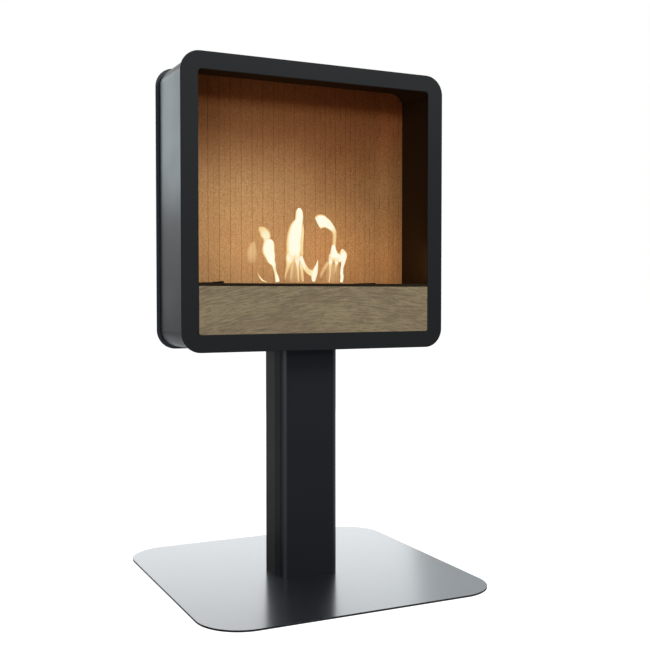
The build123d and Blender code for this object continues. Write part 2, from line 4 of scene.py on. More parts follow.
import bmesh
import bpy
import numpy as np
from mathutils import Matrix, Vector


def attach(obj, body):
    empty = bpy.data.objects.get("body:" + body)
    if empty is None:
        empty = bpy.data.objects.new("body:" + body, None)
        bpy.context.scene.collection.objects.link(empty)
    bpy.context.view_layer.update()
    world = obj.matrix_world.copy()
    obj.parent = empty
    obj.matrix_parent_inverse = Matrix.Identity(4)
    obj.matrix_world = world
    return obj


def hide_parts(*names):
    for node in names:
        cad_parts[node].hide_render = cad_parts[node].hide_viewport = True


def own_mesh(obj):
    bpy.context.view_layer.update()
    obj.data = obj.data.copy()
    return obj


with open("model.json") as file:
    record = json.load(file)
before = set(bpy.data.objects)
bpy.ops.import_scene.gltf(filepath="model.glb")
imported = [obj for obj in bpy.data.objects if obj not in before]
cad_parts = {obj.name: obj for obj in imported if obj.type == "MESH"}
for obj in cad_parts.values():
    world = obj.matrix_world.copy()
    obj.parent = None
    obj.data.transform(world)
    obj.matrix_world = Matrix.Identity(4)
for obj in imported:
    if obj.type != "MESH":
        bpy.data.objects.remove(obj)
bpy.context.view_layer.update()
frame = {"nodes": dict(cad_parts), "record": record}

# A bioethanol fireplace. Lengths are in millimetres up to the point where a mesh is made.
# X runs to the viewer's right, Y to the back and Z up; the origin is under the column.
MM = 0.001
WHITE = (1.0, 1.0, 1.0)

# ---------------------------------------------------------------- places on the object

# An inset is measured inwards from an outline, mostly the head's.
base_side, base_thickness, base_corner, base_edge = 694.0, 4.0, 100.0, 0.7
hang_hole_x, hang_hole = -334.0, 3.0

column_front, column_back, column_seam = -52.5, 52.5, -7.5
column_half, column_low, column_high = 72.0, 4.0, 548.0
cover_wall, cover_bend = 1.5, 14.0
spine_wall, spine_bend, seam_gap = 2.5, 5.0, 0.5

head_side, head_height, head_mid, head_round = 660.0, 656.0, 869.0, 45.0
front_y, frame_back = -104.0, -101.0
rear_y, panel_front = 92.0, 89.0
band_side, band_end = 40.0, 39.0
opening_rounds = (8.0, 8.0, 5.0, 5.0)
shell_inset, shell_wall, return_width = 7.0, 2.0, 14.0
liner_inset, liner_wall = 9.3, 1.5

board_front, board_back, board_inset = 71.0, 87.0, 10.95
groove_pitch, groove_half, groove_depth, grooves_each_side = 28.0, 1.0, 1.0, 11

oak_half, oak_low, oak_high, oak_back = 289.7, 580.3, 687.7, -86.0
oak_rounds = (0.9, 0.9, 4.7, 4.7)
hearth_top, hearth_wall = 694.3, 2.0
slot_y, slot_length, slot_width, slot_corner = -9.0, 300.0, 40.0, 6.0
burner_length, burner_width, burner_corner = 360.0, 90.0, 8.0
collar_wall, collar_low = 1.5, 684.3

shutter_left, shutter_right, shutter_front, shutter_back = -240.0, 184.0, 16.0, 68.0
shutter_low, shutter_high, shutter_corner = 694.5, 695.7, 3.0
scoop_left, scoop_right, scoop_width, scoop_rise = -230.0, -184.0, 20.0, 5.2
scoop_margin = 1.2

rivet_rows, rivet_line = (-245.3, 189.3), (-19.9, 18.1, 56.1)
rivet_head, rivet_dome, rivet_shank = 2.5, 1.0, 1.5
rivet_seat, rivet_foot = 695.3, 692.3
rear_screw_reach, rear_screw_side, rear_screw_end = 200.0, 316.0, 314.0
screw_shank, screw_depth, screw_head, screw_rise = 2.5, 5.0, 4.5, 2.6


# ---------------------------------------------------------------- surfaces

def unit(vectors):
    """Each vector divided by its own length."""
    return vectors / np.linalg.norm(vectors, axis=-1, keepdims=True)


def rounded_outlines(width, height, rounds, insets, steps=18, hold=1.5):
    """Closed outlines of a rectangle moved inwards, one for each inset.

    A corner is its centre plus radius times (cos t, sin t) over a quarter turn; the radius shrinks
    by the inset. One point is held on each straight side beside the round, so the side stays flat.
    The corners run right-top, left-top, left-bottom, right-bottom.
    """
    insets = np.atleast_1d(np.asarray(insets, float))[:, None]
    rounds = np.broadcast_to(np.asarray(rounds, float), (4,))[None]
    radius = np.maximum(rounds - insets, 0.0)
    side = np.array([(1, 1), (-1, 1), (-1, -1), (1, -1)])
    reach = np.array([width, height]) / 2 - np.maximum(rounds, insets)[..., None]
    start = np.arange(4)[:, None] * np.pi / 2
    angle = start + np.linspace(0, np.pi / 2, steps + 1)
    spoke = np.stack([np.cos(angle), np.sin(angle)], -1)
    arc = (side * reach)[:, :, None] + radius[:, :, None, None] * spoke
    into = hold * np.stack([-np.sin(start), np.cos(start)], -1)
    out_of = hold * np.stack([-np.cos(start), -np.sin(start)], -1)
    loops = np.concatenate([arc[:, :, :1] - into, arc, arc[:, :, -1:] + out_of], axis=2)
    return loops.reshape(len(insets), -1, 2)


def eased(corners, radii, steps=5, hold=0.2):
    """A closed polygon whose corners are turned into arcs, with a point held on each side.

    Each arc's centre is on the corner's bisector, at radius / sin(half the corner's angle), and
    the arc is the spherical blend of its two end spokes.
    """
    corner = np.asarray(corners, float)
    radius = np.broadcast_to(np.asarray(radii, float), (len(corner),))[:, None]
    back = unit(np.roll(corner, 1, 0) - corner)
    onward = unit(np.roll(corner, -1, 0) - corner)
    half = np.arccos(np.clip((back * onward).sum(1, keepdims=True), -1, 1)) / 2
    reach = radius / np.tan(half)
    centre = corner + unit(back + onward) * radius / np.sin(half)
    first, last = corner + back * reach - centre, corner + onward * reach - centre
    turn = (np.pi - 2 * half)[:, None]
    t = np.linspace(0, 1, steps + 1)[None, :, None]
    blend = (np.sin((1 - t) * turn) * first[:, None] + np.sin(t * turn) * last[:, None]) / np.sin(turn)
    arc = centre[:, None] + blend
    before = (corner + back * (reach + hold))[:, None]
    after = (corner + onward * (reach + hold))[:, None]
    return np.concatenate([before, arc, after], axis=1).reshape(-1, 2)


def edge(start, end, radii, inwards=1.0):
    """Section of a flat piece's eased edge: (inset, depth) points from one face to the other.

    The first and last corner only give the faces' direction, and their points are left out.
    """
    face = 20.0 * inwards
    return without_ends([(face, start), (0.0, start), (0.0, end), (face, end)], radii)


def without_ends(corners, radii, steps=5):
    """An eased profile without the points of its first and last corner."""
    unused_radius, points_each = 0.1, steps + 3
    whole = eased(corners, [unused_radius, *radii, unused_radius], steps=steps)
    return whole[points_each:-points_each]


def quads(rows, columns, join_rows=False):
    """Four-sided faces between neighbours on a grid of points whose rows are closed."""
    i = np.arange(rows if join_rows else rows - 1)[:, None]
    j = np.arange(columns)[None]
    up, along = (i + 1) % rows, (j + 1) % columns
    around = np.broadcast_arrays(
        i * columns + j, i * columns + along, up * columns + along, up * columns + j
    )
    return np.stack(around, -1).reshape(-1, 4)


def piece(name, points, faces, slot, finish=None, body="stand", nodes=(), crease=35.0, uv=None):
    """A mesh object in metres whose faces are turned outwards; it rides on a body for its nodes.

    It takes its slot's finish unless another one is given.
    """
    mesh = bpy.data.meshes.new(name)
    points = np.asarray(points, float).reshape(-1, 3) * MM
    mesh.from_pydata(points.tolist(), [], [list(map(int, face)) for face in faces])
    if uv is not None:
        layer = mesh.uv_layers.new(name="UVMap")
        corner = np.empty(len(mesh.loops), np.int32)
        mesh.loops.foreach_get("vertex_index", corner)
        layer.data.foreach_set("uv", np.asarray(uv, np.float32).reshape(-1, 2)[corner].ravel())
    made = bpy.data.objects.new(name, mesh)
    bpy.context.scene.collection.objects.link(made)
    turn_outwards(made)
    mesh.materials.append(finish or finishes[slot])
    mesh.shade_smooth()
    mesh.set_sharp_from_angle(angle=math.radians(crease))
    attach(made, body)
    if nodes:
        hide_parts(*nodes)
    return made


def turn_outwards(made):
    """Turns the faces of a closed mesh outwards."""
    work = bmesh.new()
    work.from_mesh(made.data)
    bmesh.ops.recalc_face_normals(work, faces=work.faces)
    work.to_mesh(made.data)
    work.free()


def capped(rings, around):
    """Faces over rings of points, with a flat face on the first and the last ring."""
    ends = [range(around), range((rings - 1) * around, rings * around)]
    return quads(rings, around).tolist() + ends


def stacked(name, loops, slot, **more):
    """A solid skin over rings of points, closed by a flat face on its first and last ring."""
    return piece(name, loops, capped(*loops.shape[:2]), slot, **more)


def round_section(name, loops, slot, **more):
    """A closed tube-like skin: the rings of points are joined back to the first one."""
    return piece(name, loops, quads(*loops.shape[:2], join_rows=True), slot, **more)


def raised(loops, heights):
    """Closed outlines in plan set at one height each."""
    level = np.broadcast_to(np.reshape(heights, (-1, 1, 1)), (*loops.shape[:2], 1))
    return np.concatenate([loops, level], -1)


def at_depth(loops, depths, middle):
    """Closed upright outlines set at one depth each, round a middle height."""
    depth = np.broadcast_to(np.reshape(depths, (-1, 1)), loops.shape[:2])
    return np.stack([loops[..., 0], depth, loops[..., 1] + middle], -1)


def head_loops(section, width=head_side, height=head_height, rounds=head_round):
    """Rings in the head's plane for a section of (inset, y) points."""
    loops = rounded_outlines(width, height, rounds, section[:, 0])
    return at_depth(loops, section[:, 1], head_mid)


# ---------------------------------------------------------------- finishes

class Value:
    """A socket that takes part in sums: each operator adds the Math node that works it out."""

    def __init__(self, nodes, socket):
        self.nodes, self.socket = nodes, socket

    def math(self, operation, *terms):
        """The outcome of one Math node."""
        return self.nodes.node("Math", dict(enumerate(terms)), operation=operation)

    def __add__(self, other):
        return self.math("ADD", self, other)

    def __radd__(self, other):
        return self.math("ADD", other, self)

    def __sub__(self, other):
        return self.math("SUBTRACT", self, other)

    def __rsub__(self, other):
        return self.math("SUBTRACT", other, self)

    def __mul__(self, other):
        return self.math("MULTIPLY", self, other)

    def __rmul__(self, other):
        return self.math("MULTIPLY", other, self)

    def __truediv__(self, other):
        return self.math("DIVIDE", self, other)

    def __rtruediv__(self, other):
        return self.math("DIVIDE", other, self)

    def __abs__(self):
        return self.math("ABSOLUTE", self)

    def from_line(self, reach):
        """Its distance from the nearest of the lines that stand twice a reach apart."""
        return self.math("PINGPONG", self, reach)


class Nodes:
    """The node tree of a material or of the world, built by one call for each node."""

    def __init__(self, owner):
        owner.use_nodes = True
        self.tree = owner.node_tree
        self.tree.nodes.clear()

    def node(self, kind, sockets=None, output=0, stops=(), **settings):
        """Adds a node: its settings and a ramp's stops first, then its sockets' values or links."""
        made = self.tree.nodes.new("ShaderNode" + kind)
        for setting, value in settings.items():
            setattr(made, setting, value)
        if stops:
            ramp = made.color_ramp.elements
            while len(ramp) < len(stops):
                ramp.new(0.5)
            for element, (place, colour) in zip(ramp, stops):
                element.position = place
                element.color = (*colour, 1.0)
        for socket, value in (sockets or {}).items():
            if isinstance(value, Value):
                self.tree.links.new(value.socket, made.inputs[socket])
            else:
                made.inputs[socket].default_value = value
        return Value(self, made.outputs[output] if made.outputs else None)

    def place(self, scale=(1.0, 1.0, 1.0), turn=(0.0, 0.0, 0.0), shift=(0.0, 0.0, 0.0)):
        """The object's own coordinates, stretched, turned and shifted for a pattern."""
        here = self.node("TexCoord", output="Object")
        return self.node("Mapping", {
            "Vector": here, "Scale": scale, "Rotation": turn, "Location": shift,
        })

    def axis(self, name, vector=None):
        """The X, Y or Z of a vector, or of the object's own place in metres."""
        return self.node("SeparateXYZ", {"Vector": vector or self.place()}, output=name)

    def length(self, vector):
        """How long a vector is."""
        return self.node("VectorMath", {0: vector}, operation="LENGTH", output="Value")

    def noise(self, vector, scale=1.0, detail=3.0, roughness=0.55):
        """Fractal noise between about 0.3 and 0.7."""
        return self.node("TexNoise", {
            "Vector": vector, "Scale": scale, "Detail": detail, "Roughness": roughness,
        }, output="Fac")

    def between(self, value, low, high, to_low=0.0, to_high=1.0):
        """A value carried smoothly from one range to another."""
        return self.node("MapRange", {
            "Value": value, "From Min": low, "From Max": high, "To Min": to_low, "To Max": to_high,
        }, interpolation_type="SMOOTHSTEP")

    def window(self, value, rise, fall):
        """1 between two ranges of a value, over which it rises from 0 and falls back to 0."""
        return self.between(value, *rise) * (1.0 - self.between(value, *fall))

    def mix(self, factor, first, second, blend="MIX"):
        """Two colours mixed by a factor."""
        return self.node("Mix", {0: factor, 6: first, 7: second}, output=2,
                         data_type="RGBA", blend_type=blend)

    def tinted(self, factor, colour, tint):
        """A colour that a factor brings to its product with a tint."""
        return self.mix(factor, colour, rgba(tint), blend="MULTIPLY")

    def ramp(self, value, stops):
        """A colour that follows a value over its stops."""
        return self.node("ValToRGB", {"Fac": value}, stops=stops)

    def bump(self, height, strength, distance):
        """A normal that leans with a height."""
        return self.node("Bump", {"Height": height, "Strength": strength, "Distance": distance})

    def background_seen(self):
        """1 for a ray from the camera, a gloss or a glass, and 0 for one that lights a surface."""
        camera, gloss, glass = [
            self.node("LightPath", output=f"Is {kind} Ray")
            for kind in ("Camera", "Glossy", "Transmission")
        ]
        return self.node("Math", {0: camera + gloss + glass, 1: 1.0}, operation="MINIMUM")


class Finish(Nodes):
    """One material: a Principled surface whose constants are set on its own sockets."""

    def __init__(self, name, **constants):
        self.material = bpy.data.materials.new(name)
        super().__init__(self.material)
        self.constants = {socket.replace("_", " "): value for socket, value in constants.items()}

    def feed(self, **sockets):
        """Makes the surface from the constants and the worked-out values; gives the material."""
        values = {socket.replace("_", " "): value for socket, value in sockets.items()}
        return self.show(self.node("BsdfPrincipled", {**self.constants, **values}))

    def show(self, surface):
        """Sends a surface to the material's output; gives the material."""
        self.node("OutputMaterial", {"Surface": surface})
        return self.material


def rgba(colour, times=1.0):
    """A colour with full alpha, made lighter or darker by a number."""
    return (*(channel * times for channel in colour), 1.0)


def sprayed(finish, dark, light, roughness, grain, relief):
    """Sprayed paint: a tone that drifts slowly, and a roughness and orange-peel skin to feed."""
    here = finish.place()
    drift = finish.noise(here, 5.0, detail=2.0)
    peel = finish.noise(here, grain, detail=1.0)
    return finish.mix(drift, dark, light), {
        "Roughness": finish.between(drift, 0.3, 0.7, roughness - 0.03, roughness + 0.03),
        "Normal": finish.bump(peel, relief, 0.0002),
    }


def paint(name, colour, roughness, gloss, grain=900.0, relief=0.03):
    """Sprayed paint of one colour."""
    finish = Finish(name, Specular_IOR_Level=gloss)
    tone, skin = sprayed(finish, rgba(colour, 0.88), rgba(colour, 1.12), roughness, grain, relief)
    return finish.feed(Base_Color=tone, **skin)


def base_enamel():
    """Even dark enamel, glossy on the plate's upper face and dull on its cut edge."""
    finish = Finish("satin_dark_steel", Specular_IOR_Level=0.04, Coat_Roughness=0.20, Roughness=0.5)
    drift = finish.noise(finish.place(), 3.0, detail=1.0)
    face = (base_thickness - 0.5) * MM, (base_thickness - 0.05) * MM
    return finish.feed(
        Base_Color=finish.mix(drift, rgba((0.0090, 0.0104, 0.0122)), rgba((0.0110, 0.0126, 0.0148))),
        Coat_Weight=finish.between(finish.axis("Z"), *face) * 0.73,
    )


def firelit_lining():
    """Matt black stove paint: a brown tint is painted firelight; the darker lip front is painted shade.
    """
    finish = Finish("matt_stove_black", Specular_IOR_Level=0.06)
    brown, skin = sprayed(finish, rgba((0.0246, 0.0107, 0.0032)), rgba((0.0314, 0.0137, 0.0040)),
                          roughness=0.75, grain=700.0, relief=0.12)
    # Painted firelight and shade: brown behind the front face, darker on the hearth lip's front face.
    behind = finish.between(finish.axis("Y"), (front_y + 0.3) * MM, (front_y + 1.5) * MM)
    return finish.feed(Base_Color=finish.mix(behind, rgba((0.0140, 0.0090, 0.0042)), brown), **skin)


def cover_paint():
    """Sprayed paint that lies glossier on the cover's two long bends than on its flat faces."""
    finish = Finish("blue_black_enamel", Specular_IOR_Level=0.02, Coat_Roughness=0.32)
    tone, skin = sprayed(finish, rgba((0.0140, 0.0150, 0.0180)), rgba((0.0168, 0.0182, 0.0218)),
                         roughness=0.36, grain=900.0, relief=0.02)
    near_side = (column_half - 14.0) * MM, (column_half - 8.0) * MM
    past_bend = (column_front + 1.0) * MM, (column_front + 13.0) * MM
    bend = finish.between(abs(finish.axis("X")), *near_side) * (
        1.0 - finish.between(finish.axis("Y"), *past_bend))
    return finish.feed(Base_Color=tone, Coat_Weight=bend * 0.65, **skin)


def brushed(name, colour, roughness, along=(8.0, 8.0, 8.0)):
    """Brushed metal: fine scratches drawn out along one direction."""
    finish = Finish(name, Metallic=1.0, Specular_IOR_Level=0.5)
    scratch = finish.noise(finish.place(along), 60.0, detail=4.0)
    drift = finish.noise(finish.place(), 9.0, detail=2.0)
    return finish.feed(
        Base_Color=finish.mix(scratch, rgba(colour, 0.9), rgba(colour, 1.1)),
        Roughness=finish.between(scratch + drift, 0.7, 1.3, roughness - 0.05, roughness + 0.06),
        Normal=finish.bump(scratch, 0.03, 0.0002),
    )


def fire_board():
    """Pressed vermiculite: golden chips, dark flecks and thin dark lines between its grooves.

    The grooves carry painted shade. Painted shade also makes the board darker and much redder towards
    its top, a little darker and redder to the right, and darker above the flames' right side; painted
    light makes its right end lighter. Its marks are coarser to the right.
    """
    finish = Finish("golden_fire_board", Specular_IOR_Level=0.15)
    here = finish.place()
    across, height = finish.axis("X"), finish.axis("Z")
    coarse = finish.between(across, 0.02, 0.18)

    chips = finish.node("TexVoronoi", {"Vector": here, "Scale": 520.0}, output="Color")
    chip = finish.node("SeparateColor", {"Color": chips}, output="Red")
    grit = finish.noise(here, 900.0, roughness=0.7)
    cloud = finish.noise(here, 22.0)
    fleck = finish.between(finish.noise(here, 420.0, detail=2.0), 0.58, 0.70)
    spots = finish.node("TexVoronoi", {"Vector": here, "Scale": 210.0}, output="Distance")
    spot = 1.0 - finish.between(spots, 0.10, 0.26)
    tone = finish.ramp(chip * 0.5 + grit * 0.5, (
        (0.2, (0.29, 0.145, 0.054)), (0.5, (0.375, 0.205, 0.083)), (0.8, (0.46, 0.275, 0.125)),
    ))
    tone = finish.mix(finish.between(cloud, 0.3, 0.7, 0.0, 0.3), tone, rgba((0.33, 0.175, 0.075)))
    tone = finish.mix(fleck * (coarse * 0.35 + 0.50), tone, rgba((0.12, 0.055, 0.02)))
    tone = finish.mix(spot * (coarse * 0.35 + 0.40), tone, rgba((0.16, 0.075, 0.028)))

    half_pitch = groove_pitch / 2 * MM
    line_breaks = finish.noise(finish.place((90.0, 1.0, 26.0)), detail=2.0)
    # Painted shade in the grooves: their middles are darkened in colour and broken up by noise; the hair
    # lines midway between grooves are the board's own marks.
    in_groove = 1.0 - finish.between((across - half_pitch).from_line(half_pitch), 0.0003, 0.0010)
    line = in_groove * finish.between(line_breaks, 0.35, 0.62, 0.0, 0.14)
    midway = 1.0 - finish.between(across.from_line(half_pitch), 0.0003, 0.0009)
    hair = midway * finish.between(line_breaks, 0.42, 0.64, 0.0, 0.4)
    tone = finish.mix((line + hair) * (coarse * 1.6 + 1.0), tone, rgba((0.12, 0.052, 0.02)))

    # Painted shade: the board is made darker and redder towards its top, where the frame's top band
    # shades it.
    top_shade_foot, top_shade_rise = 0.90, 0.26
    top_shade = finish.ramp((height - top_shade_foot) / top_shade_rise, (
        (0.15, (1.0, 1.0, 1.0)), (0.40, (0.92, 0.80, 0.74)), (0.65, (0.87, 0.62, 0.52)),
        (0.82, (0.74, 0.50, 0.38)), (0.92, (0.44, 0.22, 0.11)),
    ))
    tone = finish.mix(1.0, tone, top_shade, blend="MULTIPLY")
    # Painted shade: the board is made a little darker and redder towards its right.
    redder = finish.between(across, -0.14, 0.22)
    # Painted shade: a patch above the flames' right side is made darker.
    shade_over_right_flames = finish.window(across, (0.0, 0.11), (0.205, 0.255)) * (
        finish.window(height, (0.86, 0.95), (1.02, 1.08)))
    # Painted light: the board's right end is made lighter.
    light_at_right_end = finish.between(across, 0.240, 0.272)
    tone = finish.tinted(redder, tone, (0.98, 0.86, 0.76))
    tone = finish.tinted(shade_over_right_flames, tone, (0.83, 0.775, 0.73))
    tone = finish.tinted(light_at_right_end, tone, (1.30, 1.25, 1.22))
    return finish.feed(
        Base_Color=tone,
        Roughness=finish.between(grit, 0.3, 0.7, 0.75, 0.95),
        Normal=finish.bump(chip * 0.6 + grit * 0.6 - fleck, 0.22, 0.0005),
    )


def oak():
    """Oiled oak, its grain along X: short streaks, dark pores, slow changes in tone and one knot.

    The grain rises in the board's left part and falls in its right part, as an arch does:
    a grain line is z = line - arch * (x - crown)^2, with a slow wave added.
    """
    crown, arch = 0.09, 0.38
    knot_x, knot_z, knot_width, knot_height = -237.0, 590.0, 9.0, 5.5
    finish = Finish("grey_brown_oak", Specular_IOR_Level=0.3)
    from_crown = finish.axis("X") - crown
    wave = (finish.noise(finish.place((4.0, 1.0, 9.0)), detail=1.0) - 0.5) * 0.03
    lift = finish.node("CombineXYZ", {"Z": from_crown * from_crown * arch + wave})
    here = finish.node("VectorMath", {0: finish.place(), 1: lift}, operation="ADD")

    def drawn(scale, lean=0.0, detail=2.0, roughness=0.55):
        """Noise drawn out along the grain."""
        along = finish.node("Mapping", {"Vector": here, "Scale": scale, "Rotation": (0.0, lean, 0.0)})
        return finish.noise(along, detail=detail, roughness=roughness)

    streak = drawn((24.0, 60.0, 560.0), detail=3.0, roughness=0.72)
    slant = drawn((40.0, 60.0, 260.0), lean=0.30)
    drift = drawn((7.0, 10.0, 20.0))
    pores = finish.between(drawn((62.0, 300.0, 560.0), lean=-0.06, detail=1.0), 0.59, 0.67)
    grain = streak * 0.72 + slant * finish.between(drift, 0.42, 0.62, 0.12, 0.22)
    region = finish.between(drift, 0.38, 0.62)
    pale = finish.mix(region, rgba((0.241, 0.180, 0.104)), rgba((0.236, 0.183, 0.101)))
    deep = finish.mix(region, rgba((0.127, 0.092, 0.052)), rgba((0.122, 0.092, 0.049)))
    tone = finish.mix(finish.between(grain, 0.32, 0.54), deep, pale)
    tone = finish.mix(pores * 0.65, tone, rgba((0.080, 0.056, 0.033)))
    round_knot = finish.place(
        scale=(1.0 / MM / knot_width, 0.0, 1.0 / MM / knot_height),
        shift=(-knot_x / knot_width, 0.0, -knot_z / knot_height),
    )
    knot = 1.0 - finish.between(finish.length(round_knot) + (grain - 0.45) * 2.0, 0.2, 1.3)
    tone = finish.mix(knot * 0.6, tone, rgba((0.115, 0.062, 0.036)))
    return finish.feed(
        Base_Color=tone,
        Roughness=finish.between(grain, 0.3, 0.6, 0.62, 0.5),
        Normal=finish.bump(grain * 0.5 - pores, 0.25, 0.0004),
    )


def ceramic():
    """White porous ceramic with fine pits and a faint scorched tint."""
    finish = Finish("porous_ceramic", Specular_IOR_Level=0.2)
    here = finish.place()
    pits = finish.between(finish.noise(here, 500.0), 0.55, 0.68)
    stain = finish.noise(here, 18.0)
    tone = finish.mix(stain, rgba((0.82, 0.79, 0.74)), rgba((0.60, 0.54, 0.46)))
    tone = finish.mix(pits * 0.6, tone, rgba((0.33, 0.30, 0.26)))
    return finish.feed(
        Base_Color=tone,
        Roughness=finish.between(stain, 0.3, 0.7, 0.85, 0.95),
        Normal=finish.bump(1.0 - pits, 0.5, 0.0006),
    )


powder = {"grain": 1100.0, "relief": 0.05}
# Painted light: the rear panel takes a lighter copy of the frame's matt black powder paint.
lightened_frame_paint = paint("frame_powder_painted_lighter", (0.038, 0.043, 0.051), roughness=0.50, gloss=0.2, **powder)
finishes = {
    "frame_paint": paint("matt_black_powder", (0.0044, 0.0054, 0.0062), roughness=0.50, gloss=0.13,
                         **powder),
    "casing_paint": paint("satin_black_enamel", (0.008, 0.010, 0.012), roughness=0.31, gloss=0.12),
    "column_paint": cover_paint(),
    "spine_paint": paint("warm_black_enamel", (0.0157, 0.0141, 0.0127), roughness=0.50, gloss=0.09),
    "lining_paint": firelit_lining(),
    "base_steel": base_enamel(),
    "burner_steel": brushed("brushed_stainless", (0.56, 0.54, 0.50), roughness=0.30,
                            along=(1.0, 60.0, 60.0)),
    "zinc_steel": brushed("zinc_plated_steel", (0.46, 0.46, 0.45), roughness=0.42),
    "dark_screw": brushed("blackened_screw", (0.035, 0.035, 0.037), roughness=0.40),
    "shutter_steel": paint("heat_browned_steel", (0.0034, 0.0022, 0.0014), roughness=0.60, gloss=0.03),
    "board": fire_board(),
    "oak": oak(),
    "ceramic": ceramic(),
}
for part in frame["record"]["subparts"]:
    if "node" in part:
        frame["nodes"][part["node"]].data.materials[0] = finishes[part["material_slot"]]


# ---------------------------------------------------------------- base and column

def base_plate():
    """Rings in plan round the square plate's eased edge and back through its small round hole.

    The left side has extra points at d * tan(t) beside the hole, d being the hole's distance from
    that side. A point of the hole lies from its middle towards the point of the same number on
    the outline.
    """
    steps, swing = 32, 1.4
    section = edge(0.0, base_thickness, [0.4, base_edge])
    loops = rounded_outlines(base_side, base_side, base_corner, section[:, 0], steps=steps, hold=3.0)
    beside = (base_side / 2 + hang_hole_x) * np.tan(np.linspace(swing, -swing, 15))
    left = np.stack(np.broadcast_arrays(section[:, :1] - base_side / 2, beside), -1)
    left_side = 2 * (steps + 3)
    loops = np.concatenate([loops[:, :left_side], left, loops[:, left_side:]], axis=1)
    middle, ease = np.array([hang_hole_x, 0.0]), 0.2
    widened = np.array([ease, 0.0, 0.0, ease])
    hole = middle + (hang_hole / 2 + widened[:, None, None]) * unit(loops[0] - middle)
    hole_heights = [base_thickness, base_thickness - ease, ease, 0.0]
    rings = raised(np.concatenate([loops, hole]), np.concatenate([section[:, 1], hole_heights]))
    return round_section("base_plate_skin", rings, "base_steel", nodes=("base_plate",))


def channel(node, back, front, wall, bend, slot):
    """Upright folded channel: its web is at y = back and its legs run to y = front."""
    way = 1.0 if front > back else -1.0
    inner = back + way * wall
    corners = [
        (-column_half, front), (-column_half, back), (column_half, back), (column_half, front),
        (column_half - wall, front), (column_half - wall, inner),
        (-column_half + wall, inner), (-column_half + wall, front),
    ]
    cut, ease = 0.3, 0.5
    radii = [cut, bend, bend, cut, cut, bend - wall, bend - wall, cut]
    outline = eased(corners, radii, steps=10, hold=0.4)
    heights = [column_low, column_low + ease, column_high - ease, column_high]
    loops = np.broadcast_to(outline, (len(heights), *outline.shape))
    return stacked(node + "_skin", raised(loops, heights), slot, nodes=(node,))


base_plate()
channel("column_cover", column_front, column_seam, cover_wall, cover_bend, "column_paint")
channel("column_spine", column_back, column_seam + seam_gap, spine_wall, spine_bend, "spine_paint")


# ---------------------------------------------------------------- head

def front_ring():
    """Flat ring between the head's outline and the opening, with eased edges."""
    outside = head_loops(edge(frame_back, front_y, [0.3, 0.9]))
    opening = head_side - 2 * band_side, head_height - 2 * band_end
    inside = head_loops(edge(front_y, frame_back, [0.8, 0.3], inwards=-1.0), *opening, opening_rounds)
    return round_section("front_frame_skin", np.concatenate([outside, inside]), "frame_paint",
                         nodes=("front_frame",))


def casing():
    """Rolled shell with a folded return behind."""
    wall = shell_inset + shell_wall
    lip = shell_inset + return_width
    section = eased([
        (shell_inset, frame_back), (shell_inset, panel_front), (lip, panel_front),
        (lip, panel_front - shell_wall), (wall, panel_front - shell_wall), (wall, frame_back),
    ], [0.3, 2.4, 0.4, 0.4, 0.5, 0.3])
    return round_section("outer_shell_skin", head_loops(section), "casing_paint",
                         nodes=("outer_shell",))


def lining():
    """Thin folded lining from the frame to the shell's return."""
    inner = liner_inset + liner_wall
    section = eased([
        (liner_inset, frame_back), (liner_inset, board_back), (inner, board_back), (inner, frame_back),
    ], 0.3)
    return round_section("firebox_lining_skin", head_loops(section), "lining_paint",
                         nodes=("firebox_liner",))


def back_panel():
    """Flat rear plate with eased edges."""
    return stacked("rear_panel_skin", head_loops(edge(panel_front, rear_y, [0.5, 0.9])),
                   "frame_paint", finish=lightened_frame_paint, nodes=("rear_panel",))


def grooved_board():
    """Board whose upper and lower edge follow the head's round at every x.

    Each column of points runs from the lower to the upper edge; the front is moved back by
    groove_depth * (1 - |x - groove| / groove_half) inside a groove.
    """
    half = head_side / 2 - board_inset
    rise = head_height / 2 - board_inset
    radius = head_round - board_inset
    grooves = (np.arange(-grooves_each_side, grooves_each_side) + 0.5) * groove_pitch
    sides = (grooves[:, None] + np.array([-groove_half, 0.0, groove_half])).ravel()
    swing = half - radius + radius * np.sin(np.linspace(0, np.pi / 2, 14))
    x = np.unique(np.concatenate([sides, swing, -swing]).round(4))
    past = np.clip(np.abs(x) - (half - radius), 0, radius)
    top = rise - radius + np.sqrt(np.maximum(radius ** 2 - past ** 2, 0))
    nearest = np.abs(x[:, None] - grooves).min(1)
    depth = board_front + groove_depth * np.clip(1 - nearest / groove_half, 0, 1)
    back = np.full_like(x, board_back)
    points = np.stack([
        np.stack([x, depth, head_mid - top], -1), np.stack([x, depth, head_mid + top], -1),
        np.stack([x, back, head_mid + top], -1), np.stack([x, back, head_mid - top], -1),
    ], 1)
    return stacked("back_board_skin", points, "board", nodes=("back_board",), crease=20.0)


def oak_board():
    """Solid board with eased edges, rounded at its two lower corners."""
    section = edge(oak_back, front_y, [0.5, 0.8])
    loops = rounded_outlines(2 * oak_half, oak_high - oak_low, oak_rounds, section[:, 0], steps=8)
    points = at_depth(loops, section[:, 1], (oak_low + oak_high) / 2)
    return stacked("oak_front_skin", points, "oak", nodes=("oak_front",))


def flat_rings(width, depth, rounds, middle, section):
    """Rings in plan round a middle for a section of (inset, z) points."""
    loops = rounded_outlines(width, depth, rounds, section[:, 0], steps=8) + np.asarray(middle)
    return raised(loops, section[:, 1])


